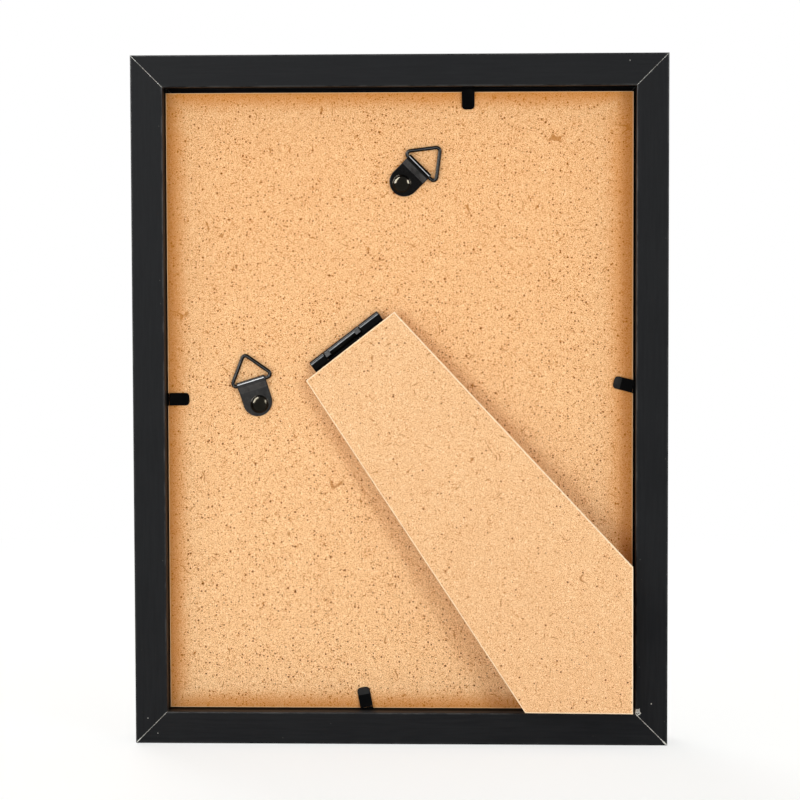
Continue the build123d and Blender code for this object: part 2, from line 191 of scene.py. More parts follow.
# Raw mitres: where the saw cut the foil, a thin ragged line of pale board shows along each joint.
# It lies in the rear faces, follows their rounded edges and is widest where a corner was knocked.
PANEL_REAR = 0.8
ARRIS_R = 0.5
MITRE_T = 0.06
MITRE_LOOKS = {  # which corner, seen from behind: half width, knock at the outer end, raggedness
    (-1, 1): (0.070, 0.02, 1.3),
    (1, 1): (0.055, 0.02, 2.1),
    (1, -1): (0.090, 0.17, 4.4),
    (-1, -1): (0.060, 0.10, 5.2),
}
BOARD_PALE, BOARD_GREY = (0.62, 0.57, 0.51, 1), (0.20, 0.18, 0.16, 1)


def on_back(u, v, turn=0.0):
    """Matrix from millimetres to metres for a place on the panel's back: u to the right as seen from
    behind, v up from the frame's middle, w out of the back, with x turned anticlockwise from u."""
    c, s = cos(radians(turn)), sin(radians(turn))
    return MM * np.array([(-c, s, 0, -u), (0, 0, 1, PANEL_REAR), (s, c, 0, HALF_H + v)])


def placed(matrix, grid):
    """Points moved from a place's own millimetres to the frame's metres."""
    return grid @ matrix[:, :3].T + matrix[:, 3]


def strip(line, half_width, thickness, edge=0.4):
    """Bent strip: along a line in the x-w plane stands a rounded rectangle, square to the line,
    thickness high and twice half_width wide, where half_width may change along the line."""
    line = np.asarray(line, float)
    radius = edge * thickness
    quarter = np.linspace(0, pi / 2, 5)
    flat = np.full(2, pi / 2)
    angle = np.concatenate([quarter, flat, quarter + pi / 2])
    side = np.repeat([1, 1, -1, -1], [5, 1, 1, 5])
    pull = np.repeat([1.0, 2.5, 1.0], [5, 2, 5]) * radius
    round_y = np.where(pull > radius, 0.0, radius * np.cos(angle))
    rise = thickness / 2 - radius + radius * np.sin(angle)
    half_width = np.broadcast_to(half_width, len(line))[:, None]
    upper = side * np.maximum(half_width - pull, 0.0) + round_y
    across = np.concatenate([upper, -upper], 1)
    rise = np.concatenate([rise, -rise])
    along = np.gradient(line, axis=0)
    along /= np.linalg.norm(along, axis=1, keepdims=True)
    x = line[:, :1] - along[:, 1:] * rise
    w = line[:, 1:] + along[:, :1] * rise
    return np.stack([x, across, w], -1)


def skin(grid, loop=False):
    """Closed skin over rings of points: quads join each ring to the next, and the first and last
    rings are capped unless the rings run round in a loop."""
    n, m = grid.shape[:2]
    ring, beside = np.arange(n if loop else n - 1)[:, None], np.arange(m)[None, :]
    ahead, across = (ring + 1) % n * m, (beside + 1) % m
    corners = [ring * m + beside, ring * m + across, ahead + across, ahead + beside]
    quads = np.stack(corners, -1).reshape(-1, 4).tolist()
    caps = [] if loop else [list(range(m))[::-1], list(range((n - 1) * m, n * m))]
    return grid.reshape(-1, 3), quads + caps


def make_piece(name, skins, material, body, slot, *nodes):
    """One object from several skins, doubles merged and faces turned outwards, riding on its body."""
    points, faces, start = [], [], 0
    for skin_points, skin_faces in skins:
        points.append(skin_points)
        faces += [[start + corner for corner in face] for face in skin_faces]
        start += len(skin_points)
    mesh = bpy.data.meshes.new(name)
    mesh.from_pydata(np.concatenate(points).tolist(), [], faces)
    merged = bmesh.new()
    merged.from_mesh(mesh)
    bmesh.ops.remove_doubles(merged, verts=merged.verts, dist=1e-7)
    bmesh.ops.recalc_face_normals(merged, faces=merged.faces)
    merged.to_mesh(mesh)
    merged.free()
    mesh.polygons.foreach_set("use_smooth", [True] * len(mesh.polygons))
    mesh.set_sharp_from_angle(angle=radians(38))
    mesh.materials.append(material)
    made = bpy.data.objects.new(name, mesh)
    bpy.context.scene.collection.objects.link(made)
    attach(made, body)
    if nodes:
        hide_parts(*nodes)
    return made


def raw_board(name):
    """Torn fibreboard: pale and grey fibres matted together."""
    material, tree, shader, coords = new_material(name)
    mat = noise(tree, coords, 1500.0, 4.0, 0.7)
    patches = noise(tree, coords, 260.0, 3.0, 0.6)
    share = reckon(tree, "MULTIPLY_ADD", mat, 0.4, reckon(tree, "MULTIPLY", patches, 0.6))
    colour = blend(tree, ramp(tree, share, 0.36, 0.62), BOARD_GREY, BOARD_PALE)
    tree.links.new(colour, shader.inputs["Base Color"])
    tree.links.new(ramp(tree, mat, 0.3, 0.7, 0.95, 0.8), shader.inputs["Roughness"])
    shader.inputs["Specular IOR Level"].default_value = 0.2
    relief(tree, shader, mat, 0.06, 0.7)
    return material


def arris_drop(inset):
    """How far a rounded edge has fallen at an inset from its face: a quarter circle."""
    short = np.clip(ARRIS_R - inset, 0.0, ARRIS_R)
    return ARRIS_R - np.sqrt(ARRIS_R**2 - short**2)


def mitre_line(corner, half_width, knock, seed):
    """A strip along a mitre from corner to rabbet, with a width that wavers as a sum of sines and
    swells towards the knocked outer end."""
    inset = np.linspace(0.2, LAND - 0.2, 160)
    waver = np.sin(2.3 * inset + seed) * np.sin(5.1 * inset + 2 * seed) + np.sin(13 * inset + 3 * seed)
    width = half_width * (0.72 + 0.34 * waver) + knock * np.exp(-((inset - 0.9) ** 2) / 0.8)
    drop = arris_drop(inset) + arris_drop(LAND - inset)
    line = np.stack([inset * 2**0.5, REAR_FACE - PANEL_REAR - drop], 1)
    turn = np.degrees(np.arctan2(-corner[1], -corner[0]))
    matrix = on_back(corner[0] * HALF_W, corner[1] * HALF_H, turn)
    return skin(placed(matrix, strip(line, np.maximum(width, 0.02), MITRE_T, 0.3)))


raw_fibre = raw_board("raw_fibre")
mitre_skins = [mitre_line(corner, *looks) for corner, looks in MITRE_LOOKS.items()]
make_piece("mitre_raw_edges", mitre_skins, raw_fibre, "frame", "black_foil")


# Torn corner and nibs: the foil is torn off one inner corner of the right rail, down to pale board,
# and a few grains of dust are caught under the foil as small bumps.
TEAR_LOW, TEAR_HIGH = -101.35, -98.7
TEAR_DOWN, TEAR_ACROSS = 2.2, 1.55
TEAR_RISE, TEAR_SUNK = 0.10, 0.06
NIBS = ((80.8, -97.4, 0.22), (73.5, 108.6, 0.17), (-82.0, -102.8, 0.15), (-78.8, -107.7, 0.2))
NIB_H = 0.08


def torn_corner():
    """A lumpy patch bent over an edge: across it runs up the rabbet wall, round the arris and over the
    rear face, along it runs beside the rail, and its height is a bulge times crossed sines."""
    p, q = np.linspace(0, 1, 26)[:, None], np.linspace(0, 1, 34)[None, :]
    bend = ARRIS_R * pi / 2
    reach = TEAR_ACROSS * (0.9 + 0.07 * np.sin(5 * p) + 0.03 * np.sin(17 * p + 1))
    run = q * (TEAR_DOWN + bend + reach) - TEAR_DOWN
    turn = np.clip(run / ARRIS_R, 0, pi / 2)
    wall, face = np.minimum(run, 0), np.maximum(run - bend, 0)
    u = HALF_W - LAND + ARRIS_R * (1 - np.cos(turn)) + face
    w = REAR_FACE - PANEL_REAR - ARRIS_R * (1 - np.sin(turn)) + wall
    v = TEAR_LOW + (TEAR_HIGH - TEAR_LOW) * p * (0.95 + 0.05 * np.sin(7 * q + 1))
    v = np.maximum(v, HALF_W - u - HALF_H + 0.05)
    lumps = 0.62 + 0.38 * np.sin(9 * p + 2) * np.sin(11 * q) + 0.2 * np.sin(23 * p) * np.sin(29 * q)
    bulge = (1 - np.abs(2 * p - 1) ** 5) * (1 - np.abs(2 * q - 1) ** 5)
    rise = (TEAR_RISE + TEAR_SUNK) * lumps * bulge - TEAR_SUNK
    over = np.stack([u - rise * np.cos(turn), v, w + rise * np.sin(turn)], -1)
    sunk = -TEAR_SUNK - 0.02
    under = np.stack([u - sunk * np.cos(turn), v, w + sunk * np.sin(turn)], -1)
    return np.concatenate([over, under[:, ::-1]], 1)


def turned(profile, sides=48):
    """Turned shape: each radius and height of the profile is swept round the w axis as a ring."""
    angle = np.linspace(0, 2 * pi, sides, endpoint=False)
    radius, height = np.asarray(profile, float).T[:, :, None]
    return np.stack([radius * np.cos(angle), radius * np.sin(angle), height + 0 * angle], -1)


tear_skin = skin(placed(on_back(0, 0), torn_corner()))
make_piece("torn_corner", [tear_skin], raw_fibre, "frame", "black_foil")
nib_skins = []
for nib_u, nib_v, nib_r in NIBS:
    lift = np.linspace(-pi / 2, pi / 2, 7)
    grain = turned(np.stack([nib_r * np.cos(lift), NIB_H * np.sin(lift)], 1), 12)
    nib_skins.append(skin(placed(on_back(nib_u, nib_v), grain + (0, 0, REAR_FACE - PANEL_REAR))))
make_piece("foil_nibs", nib_skins, raw_fibre, "frame", "black_foil")


# V-nails: bent steel strips punched under the surface across each mitre, so that none shows.
# They are bright from the roller, with fine marks along the strip.
NAIL_DARK, NAIL_PALE = (0.36, 0.36, 0.37, 1), (0.56, 0.56, 0.57, 1)
rolled_steel, tree, shader, coords = new_material("rolled_steel")
marks = noise(tree, stretched(tree, coords, (3000.0, 120.0, 3000.0)), 1.0, 3.0)
tree.links.new(blend(tree, marks, NAIL_DARK, NAIL_PALE), shader.inputs["Base Color"])
tree.links.new(ramp(tree, marks, 0.3, 0.7, 0.25, 0.45), shader.inputs["Roughness"])
shader.inputs["Metallic"].default_value = 1.0
dress("corner_v_nails", rolled_steel)


# Glass: one loose pane of clear float glass, lying against the front lip with its cut edges in the
# rabbet. A trace of cleaning smears shows only in the gloss.
clear_glass, tree, shader, coords = new_material("clear_glass")
smears = noise(tree, stretched(tree, coords, (14.0, 14.0, 40.0), 0.5), 1.0, 4.0, 0.6)
tree.links.new(ramp(tree, smears, 0.45, 0.8, 0.0, 0.04), shader.inputs["Roughness"])
shader.inputs["Base Color"].default_value = (0.985, 0.993, 0.987, 1)
shader.inputs["Transmission Weight"].default_value = 1.0
shader.inputs["IOR"].default_value = 1.5
dress("glass_pane", clear_glass)


# Insert: a plain sheet of white card in the picture's place, slightly wavy, pressed between the
# glass and the back panel. It is bare.
CARD_PALE, CARD_DULL = (0.90, 0.895, 0.875, 1), (0.84, 0.83, 0.80, 1)
CARD_T, CARD_WAVE = 0.2, 0.02
card, tree, shader, coords = new_material("white_card")
pulp = noise(tree, coords, 900.0, 4.0, 0.6)
colour = blend(tree, ramp(tree, pulp, 0.3, 0.7), CARD_DULL, CARD_PALE)
tree.links.new(colour, shader.inputs["Base Color"])
tree.links.new(ramp(tree, pulp, 0.3, 0.7, 0.75, 0.6), shader.inputs["Roughness"])
shader.inputs["Specular IOR Level"].default_value = 0.3
relief(tree, shader, pulp, 0.02, 0.4)


def card_sheet(low, high):
    """A thin closed sheet over the insert's place: both faces follow one shallow sum of sines."""
    u = np.linspace(low.x, high.x, 40)[None, :]
    v = np.linspace(low.z, high.z, 50)[:, None]
    middle = (low.y + high.y) / 2 + CARD_WAVE * MM * np.sin(60 * u + 1) * np.sin(45 * v)
    near, far = middle - CARD_T / 2 * MM, middle + CARD_T / 2 * MM
    across, up = np.broadcast_to(u, middle.shape), np.broadcast_to(v, middle.shape)
    front, rear = np.stack([across, near, up], -1), np.stack([across, far, up], -1)
    return np.concatenate([front, rear[:, ::-1]], 1)


card_skin = skin(card_sheet(*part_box("photo_insert")))
make_piece("card_insert", [card_skin], card, "frame", "plain_paper", "photo_insert")


# Back panel: thin fibreboard, pressed smooth on this side, tan with matted fibres, brown bark specks
# and short loose slivers. It lies in the rabbet under the tabs. Painted shade: its colour goes darker and
# more orange towards the rails and towards the top, and a thin pale line along its rim is a painted
# highlight.
FIBRE_LIGHT, FIBRE_DEEP = (0.98, 0.600, 0.318, 1), (0.44, 0.130, 0.014, 1)
BARK, SLIVER, PITH = (0.12, 0.028, 0.001, 1), (0.34, 0.105, 0.010, 1), (1.0, 0.72, 0.44, 1)
# First: bark-dot stain, also the painted shade by the rails and top. Second: painted rim highlight.
STAIN_AND_SHADE, RIM_HIGHLIGHT = (0.60, 0.175, 0.012, 1), (0.92, 0.60, 0.34, 1)
FELT_PULL, SLIVER_PULL = 0.7, 2.2
PANEL_BARK, PANEL_SLIVERS = 0.38, 0.11
# Painted shade: its reach and share along the rails, and its share at the top.
SHADE_REACH, SHADE_SHARE, TOP_SHADE = 9.5, 0.70, 0.20


def fibreboard(name, light, deep, bark, slivers):
    """Pressed board: a warped fine felt between two tans, faint clouds, bent slivers, long hairs that
    follow the level lines of a slow noise, pale pith, and bark dots that stain the felt round them.
    Gives its tree, shader and colour, so that a piece can add its own marks."""
    material, tree, shader, coords = new_material(name)
    drift = noise(tree, coords, 420.0, 2.0, 0.5, "Color")
    matted, curled = (
        add(tree, "VectorMath", {0: drift, 1: (pull,) * 3, 2: coords}, operation="MULTIPLY_ADD").outputs[0]
        for pull in (FELT_PULL * MM, SLIVER_PULL * MM)
    )
    felt = noise(tree, matted, 4600.0, 2.0, 0.6)
    clouds = noise(tree, coords, 75.0, 4.0, 0.6)
    share = reckon(tree, "MULTIPLY_ADD", felt, 0.97, reckon(tree, "MULTIPLY", clouds, 0.03))
    colour = blend(tree, ramp(tree, share, 0.335, 0.59), deep, light)
    pith = specks(tree, matted, 1100.0, 0.5, 0.3)
    colour = blend(tree, reckon(tree, "MULTIPLY", pith, 0.6), colour, PITH)
    for turn, scale in ((0.4, 330.0), (1.5, 290.0), (2.5, 360.0)):
        drawn = stretched(tree, curled, (0.3, 1.0, 2.2), turn)
        streak = specks(tree, drawn, scale, 1.0 - slivers, 0.17)
        colour = blend(tree, reckon(tree, "MULTIPLY", streak, 0.75), colour, SLIVER)
    level = reckon(tree, "ABSOLUTE", reckon(tree, "SUBTRACT", noise(tree, coords, 80.0, 1.0), 0.5))
    hair = ramp(tree, level, 0.0095, 0.0033)
    kept = specks(tree, coords, 140.0, 1.0 - 2 * slivers, 0.5)
    hairs = reckon(tree, "MULTIPLY", hair, kept)
    colour = blend(tree, reckon(tree, "MULTIPLY", hairs, 0.7), colour, SLIVER)
    flecks = specks(tree, matted, 900.0, 1.0 - 1.5 * bark, 0.29)
    colour = blend(tree, reckon(tree, "MULTIPLY", flecks, 0.75), colour, SLIVER)
    for scale, chance, size in ((840.0, 0.8 * bark, 0.29), (430.0, 0.25 * bark, 0.19)):
        halo, dots = (specks(tree, matted, scale, 1.0 - chance, reach) for reach in (1.25 * size, size))
        colour = blend(tree, reckon(tree, "MULTIPLY", halo, 0.4), colour, STAIN_AND_SHADE)
        colour = blend(tree, dots, colour, BARK)
    tree.links.new(ramp(tree, felt, 0.3, 0.7, 0.82, 0.66), shader.inputs["Roughness"])
    shader.inputs["Specular IOR Level"].default_value = 0.03
    relief(tree, shader, felt, 0.03, 0.5)
    return material, tree, shader, coords, colour


panel_board, tree, shader, coords, colour = fibreboard(
    "panel_board", FIBRE_LIGHT, FIBRE_DEEP, PANEL_BARK, PANEL_SLIVERS
)
place = add(tree, "SeparateXYZ", {"Vector": coords}).outputs
panel_low, panel_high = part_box("back_panel")
edges = (  # axis, where the edge lies, how fast its painted shade fades, with a minus at a low edge
    ("Z", panel_high.z, 1.2),
    ("Z", panel_low.z, -1.15),
    ("X", panel_high.x, 1.0),
    ("X", panel_low.x, -0.75),
)
reaches = [
    reckon(tree, "MULTIPLY", reckon(tree, "SUBTRACT", edge, place[axis]), fading)
    for axis, edge, fading in edges
]
to_ends, to_sides = (reckon(tree, "MINIMUM", *pair) for pair in (reaches[:2], reaches[2:]))
rim = reckon(tree, "MINIMUM", to_ends, to_sides)
uneven = reckon(tree, "MULTIPLY_ADD", noise(tree, coords, 120.0), 2.0 * MM, rim)
# Painted shade: darker and more orange towards the top, and near each rail where the rails shade it.
colour = blend(tree, ramp(tree, place["Z"], panel_low.z, panel_high.z, 0.0, TOP_SHADE), colour, STAIN_AND_SHADE)
colour = blend(tree, ramp(tree, uneven, SHADE_REACH * MM, 1.0 * MM, 0.0, SHADE_SHARE), colour, STAIN_AND_SHADE)
# Painted highlight: a thin pale line along the panel's rim.
colour = blend(tree, ramp(tree, rim, 0.34 * MM, 0.1 * MM, 0.0, 0.6), colour, RIM_HIGHLIGHT)
tree.links.new(colour, shader.inputs["Base Color"])
dress("back_panel", panel_board)


# Tabs: four short strips of black lacquered steel, driven into the rails and bent down by hand until
# they press on the panel. Their corners are rounded. Two were bent askew, and their tips carry a painted
# grey reflection.
TAB_HALF_W, TAB_T, TAB_TIP_R = 2.05, 0.5, 1.2
TAB_LINE, TAB_KINK_R = ((0.66, 1.14), (4.8, 0.3), (7.1, 0.65)), 1.5
INNER_U, INNER_V = HALF_W - LAND, HALF_H - LAND
TABS = {  # where each leaves its rail, and which way it lies
    "top_tab": on_back(22.0, INNER_V, -90),
    "right_tab": on_back(INNER_U, 4.3, 180 - 14),
    "bottom_tab": on_back(-11.2, -INNER_V, 90 + 11),
    "left_tab": on_back(-INNER_U, 0.4, 0),
}
# The two tabs whose tips carry a painted grey reflection, and the way those tips face.
TABS_WITH_TIP_REFLECTION, TIP_FACING = ("right_tab", "bottom_tab"), (-0.15, 0.0, 0.989)
LACQUER, LACQUER_DULL = (0.0010, 0.0010, 0.0011, 1), (0.0036, 0.0034, 0.0032, 1)
# Bright metal of the painted highlights, and the grey of the painted reflections.
PAINTED_GLINT_STEEL, PAINTED_REFLECTION_GREY = (0.62, 0.62, 0.63, 1), (0.048, 0.043, 0.041, 1)
NO_TONE, CREST_SPREAD = (1, 1, 1, 1), (0.990, 0.9985)
SLOPE_SPREAD, TIP_SPREAD, TIP_REFLECTION = (0.80, 0.97), (0.96, 0.985), 0.5
TAB_ROUGH, TAB_SHINE = 0.3, 0.025


def facing(tree, direction, start, end):
    """1 where a surface faces along a direction, falling to 0 as the cosine goes from end to start."""
    inputs = {0: add(tree, "TexCoord").outputs["Normal"], 1: direction}
    cosine = add(tree, "VectorMath", inputs, operation="DOT_PRODUCT").outputs["Value"]
    return ramp(tree, cosine, start, end)


def lacquer(
    name, roughness, shine, crest=None, glint_share=0.0, slope=None, reflection_share=1.0, spread=SLOPE_SPREAD, tone=NO_TONE
):
    """Stoved black lacquer on sheet steel: a faint orange peel and duller patches, a painted highlight of
    bright metal where it faces along a crest direction, and a painted grey reflection where it faces
    along a slope. Its gloss may have a tone."""
    material, tree, shader, coords = new_material(name)
    peel = noise(tree, coords, 1400.0, 2.0)
    patches = noise(tree, coords, 220.0, 4.0, 0.6)
    uneven = ramp(tree, patches, 0.25, 0.55, 0.35, 1.0)
    colour = blend(tree, ramp(tree, patches, 0.5, 0.75), LACQUER, LACQUER_DULL)
    # Painted reflection: grey where the surface faces along the slope direction.
    if slope is not None:
        greyed = reckon(tree, "MULTIPLY", facing(tree, slope, *spread), uneven)
        colour = blend(tree, reckon(tree, "MULTIPLY", greyed, reflection_share), colour, PAINTED_REFLECTION_GREY)
    # Painted highlight: bright metal where the surface faces along the crest direction.
    if crest is not None:
        painted_glint = reckon(tree, "MULTIPLY", facing(tree, crest, *CREST_SPREAD), uneven)
        painted_glint = reckon(tree, "MULTIPLY", painted_glint, glint_share)
        colour = blend(tree, painted_glint, colour, PAINTED_GLINT_STEEL)
        tree.links.new(painted_glint, shader.inputs["Metallic"])
    tree.links.new(colour, shader.inputs["Base Color"])
    dulled = ramp(tree, patches, 0.3, 0.75, roughness, roughness + 0.15)
    tree.links.new(dulled, shader.inputs["Roughness"])
    shader.inputs["Specular IOR Level"].default_value = shine
    shader.inputs["Specular Tint"].default_value = tone
    relief(tree, shader, peel, 0.02, 0.12)
    return material


def bent_line(corners, radius, closed=False):
    """A line through corners, each rounded by an arc that touches both its sides."""
    corners = np.asarray(corners, float)
    back, ahead = np.roll(corners, 1, 0) - corners, np.roll(corners, -1, 0) - corners
    back /= np.linalg.norm(back, axis=1, keepdims=True)
    ahead /= np.linalg.norm(ahead, axis=1, keepdims=True)
    half = np.arccos(np.clip((back * ahead).sum(1), -1, 1))[:, None] / 2
    inward = (back + ahead) / np.maximum(np.linalg.norm(back + ahead, axis=1, keepdims=True), 1e-9)
    centre = corners + inward * radius / np.sin(half)
    touch = radius / np.tan(half)
    start, end = corners + back * touch - centre, corners + ahead * touch - centre
    first = np.arctan2(start[:, 1], start[:, 0])
    sweep = (np.arctan2(end[:, 1], end[:, 0]) - first + pi) % (2 * pi) - pi
    angle = first[:, None] + sweep[:, None] * np.linspace(0, 1, 11)
    arcs = centre[:, None] + radius * np.stack([np.cos(angle), np.sin(angle)], -1)
    if closed:
        return arcs.reshape(-1, 2)
    return np.concatenate([corners[:1], arcs[1:-1].reshape(-1, 2), corners[-1:]])


def measured(line, at):
    """Points on a line at given lengths from its start."""
    run = np.concatenate([[0], np.cumsum(np.linalg.norm(np.diff(line, axis=0), axis=1))])
    return np.stack([np.interp(at, run, line[:, 0]), np.interp(at, run, line[:, 1])], 1)


def round_ended(line, half_width, corner_r):
    """A line's points, close together at its far end, with the half widths of a strip whose far
    corners are quarter circles."""
    total = np.linalg.norm(np.diff(line, axis=0), axis=1).sum()
    straight = np.linspace(0, total - corner_r, 44)
    rounding = corner_r * np.sin(np.linspace(0, pi / 2, 12)[1:])
    at = np.concatenate([straight, total - corner_r + rounding])
    past = np.clip(at - total + corner_r, 0, corner_r)
    return measured(line, at), half_width - corner_r + np.sqrt(corner_r**2 - past**2)


tab_lacquer = lacquer("tab_lacquer", TAB_ROUGH, TAB_SHINE)
tab_line, tab_width = round_ended(bent_line(TAB_LINE, TAB_KINK_R), TAB_HALF_W, TAB_TIP_R)
for name, matrix in TABS.items():
    tab_skin = skin(placed(matrix, strip(tab_line, tab_width, TAB_T)))
    finish = tab_lacquer
    # The two askew tabs get a painted grey reflection on their tips.
    if name in TABS_WITH_TIP_REFLECTION:
        tip = matrix[:, :3] @ TIP_FACING / MM
        tip_reflection = {"slope": tip, "reflection_share": TIP_REFLECTION, "spread": TIP_SPREAD}
        finish = lacquer(name + "_lacquer", TAB_ROUGH, TAB_SHINE, **tip_reflection)
    make_piece(name + "_steel", [tab_skin], finish, name, "black_lacquer", name)
dress("tab_anchors", tab_lacquer)


# Hinge: two leaves of black sheet steel, each rolled into knuckles round a loose pin. The lower leaf
# is riveted flat to the panel and holds the middle knuckle, with a lug at each end as a stop.
HINGE_U, HINGE_V, HINGE_TILT, HINGE_HALF_L = -17.7, 19.5, 37.3, 13.75
HINGE = on_back(HINGE_U, HINGE_V, HINGE_TILT - 90)
LEAF_T, LEAF_NOTCH, LEAF_END, LEAF_CORNER_R = 0.6, 1.75, 17.0, 2.0
KNUCKLE_R, ROLL_START, ROLL_END = 1.4, 270, -28
PIN_R, PIN_HALF_L = 0.7, 13.55
PIN_END = ((0, PIN_HALF_L), (0.45, PIN_HALF_L), (0.62, PIN_HALF_L - 0.08), (PIN_R, PIN_HALF_L - 0.25))
LEFT_KNUCKLE, MIDDLE_KNUCKLE, RIGHT_KNUCKLE = (-11.0, 5.5), (-1.1, 14.0), (9.9, 7.7)
LUG_REACH, LUG_HEEL, LUG_L, OPEN_ANGLE = 1.69, 0.2, 1.9, 32.0
LEAF_RIVETS = (6.5, 8.0), (6.5, -8.0)
LEAF_RIVET_PROFILE = (
    (0, 1.1), (1.6, 1.1), (1.9, 1.07), (2.1, 0.98), (2.2, 0.82), (2.2, 0.6), (1.2, 0.58),
    (1.2, -1.9), (2.1, -1.9), (2.1, -2.4), (0, -2.4),
)
# Painted highlight along the knuckles' crests, where they face this way.
KNUCKLE_CREST = HINGE[:, :3] @ (-0.29, 0, 0.957) / MM
HINGE_ROUGH, HINGE_SHINE, HINGE_GLINT = 0.24, 0.05, 0.38
hinge_lacquer = lacquer("hinge_lacquer", HINGE_ROUGH, HINGE_SHINE, KNUCKLE_CREST, HINGE_GLINT)


def rocked(grid, angle):
    """Points turned about the hinge pin, so that the leaf's end lifts off the panel."""
    c, s = cos(radians(angle)), sin(radians(angle))
    x, up = grid[..., 0], grid[..., 2] - KNUCKLE_R
    return np.stack([x * c - up * s, grid[..., 1], x * s + up * c + KNUCKLE_R], -1)


def leaf_flat():
    """The flat of a leaf on the panel, from the notch line to its two rounded corners."""
    line = np.array([(LEAF_NOTCH, LEAF_T / 2), (LEAF_END, LEAF_T / 2)])
    return strip(*round_ended(line, HINGE_HALF_L, LEAF_CORNER_R), LEAF_T)


def knuckle(middle, length):
    """A tongue of the leaf rolled most of the way round the pin: a straight, then an arc."""
    angle = np.radians(np.linspace(ROLL_START, ROLL_END, 44))
    roll_r = KNUCKLE_R - LEAF_T / 2
    roll = np.stack([roll_r * np.cos(angle), KNUCKLE_R + roll_r * np.sin(angle)], 1)
    line = np.concatenate([[(LEAF_NOTCH + 0.5, LEAF_T / 2), (LEAF_NOTCH / 2, LEAF_T / 2)], roll])
    return strip(line, length / 2, LEAF_T, 0.3) + (0, middle, 0)


def stop_lug(middle):
    """A block on the knuckle, standing at the angle where the strut is fully open."""
    line = np.stack([np.linspace(LUG_HEEL, LUG_REACH, 6), np.full(6, 1.5 * KNUCKLE_R)], 1)
    return rocked(strip(line, LUG_L / 2, KNUCKLE_R, 0.12) + (0, middle, 0), OPEN_ANGLE)


lug_spread = (MIDDLE_KNUCKLE[1] - LUG_L) / 2
base_grids = [leaf_flat(), knuckle(*MIDDLE_KNUCKLE)]
base_grids += [stop_lug(MIDDLE_KNUCKLE[0] + side * lug_spread) for side in (-1, 1)]
base_skins = [skin(placed(HINGE, grid)) for grid in base_grids]
make_piece("hinge_lower_leaf", base_skins, hinge_lacquer, "frame", "black_lacquer", "hinge_base_leaf")
upright_pin = turned(PIN_END + tuple((r, -z) for r, z in PIN_END[::-1]), 32)
pin_skin = skin(placed(HINGE, upright_pin[..., [0, 2, 1]] + (0, 0, KNUCKLE_R)))
make_piece("hinge_loose_pin", [pin_skin], hinge_lacquer, "frame", "black_lacquer", "hinge_pin")
flats = [skin(placed(HINGE, turned(LEAF_RIVET_PROFILE) + (x, y, 0))) for x, y in LEAF_RIVETS]
make_piece("hinge_flat_rivets", flats, hinge_lacquer, "frame", "black_lacquer", "base_leaf_rivets")


# Upper leaf: the same sheet steel under the strut, with the two outer knuckles, held by two tacks
# driven up into the board from below. It rests a little open, as the strut does.
AJAR = 4.0
TACKS = (12.5, 9.0), (12.5, -9.0)
TACK_PROFILE = (
    (0, 1.8), (1.5, 1.8), (1.78, 1.86), (1.9, 2.0), (1.9, 2.2), (1.0, 2.22), (1.0, 3.9), (0, 4.6),
)


def under_strut(grid):
    """A piece of the lower leaf's shape turned over onto the strut's underside and rocked ajar."""
    over = grid * (1, 1, -1) + (0, 0, 2 * KNUCKLE_R)
    return rocked(over, AJAR)


upper_grids = leaf_flat(), knuckle(*LEFT_KNUCKLE), knuckle(*RIGHT_KNUCKLE)
uppers = [skin(placed(HINGE, under_strut(grid))) for grid in upper_grids]
make_piece("hinge_upper_leaf", uppers, hinge_lacquer, "easel_leg", "black_lacquer", "hinge_strut_leaf")
tack_skins = [skin(placed(HINGE, rocked(turned(TACK_PROFILE) + (x, y, 0), AJAR))) for x, y in TACKS]
make_piece("strut_tacks", tack_skins, hinge_lacquer, "easel_leg", "black_lacquer", "strut_leaf_tacks")


# Strut: the same fibreboard as the panel, from a smoother sheet, sawn to a taper with two feet. Its sawn
# edges are eased and show a lighter, fuzzy core, and a thin pale band along the face's outline is a painted
# highlight.
STRUT_TOP, STRUT_FEET = ((2.8, -17.8), (2.5, 18.3)), ((75.0, -53.0), (75.0, -100.0), (40.6, -100.0))
STRUT_LIGHT, STRUT_DEEP = (0.915, 0.558, 0.303, 1), (0.46, 0.150, 0.025, 1)
SAWN_AND_HIGHLIGHT, ARRIS_HIGHLIGHT_REACH = (1.0, 0.76, 0.52, 1), 0.48
STRUT_BARK, STRUT_SLIVERS = 0.09, 0.10


def from_outline(tree, coords, outwards):
    """Distance in from the nearest sawn edge: the least of the distances to the five edges' planes,
    which stand along the outwards direction on the strut's corners."""
    feet = np.insert(STRUT_FEET, 2, 0.0, axis=1)
    feet = (placed(on_back(0, 0), feet) - HINGE[:, 3]) @ HINGE[:, :3] / MM**2
    corners = np.concatenate([np.insert(STRUT_TOP, 2, 0.0, axis=1), feet])
    corners[:, 2] = 2 * KNUCKLE_R
    corners = placed(HINGE, rocked(corners, AJAR))
    inwards = np.cross(outwards, np.roll(corners, -1, 0) - corners)
    inwards /= np.linalg.norm(inwards, axis=1, keepdims=True)
    inwards *= np.sign(((corners.mean(0) - corners) * inwards).sum(1, keepdims=True))
    nearest = None
    for corner, inward in zip(corners, inwards):
        along = add(tree, "VectorMath", {0: coords, 1: inward}, operation="DOT_PRODUCT")
        reach = reckon(tree, "SUBTRACT", along.outputs["Value"], float(corner @ inward))
        nearest = reach if nearest is None else reckon(tree, "MINIMUM", nearest, reach)
    return nearest


strut_board, tree, shader, coords, colour = fibreboard(
    "strut_board", STRUT_LIGHT, STRUT_DEEP, STRUT_BARK, STRUT_SLIVERS
)
out_of_strut = HINGE[:, :3] @ (-sin(radians(AJAR)), 0, cos(radians(AJAR))) / MM
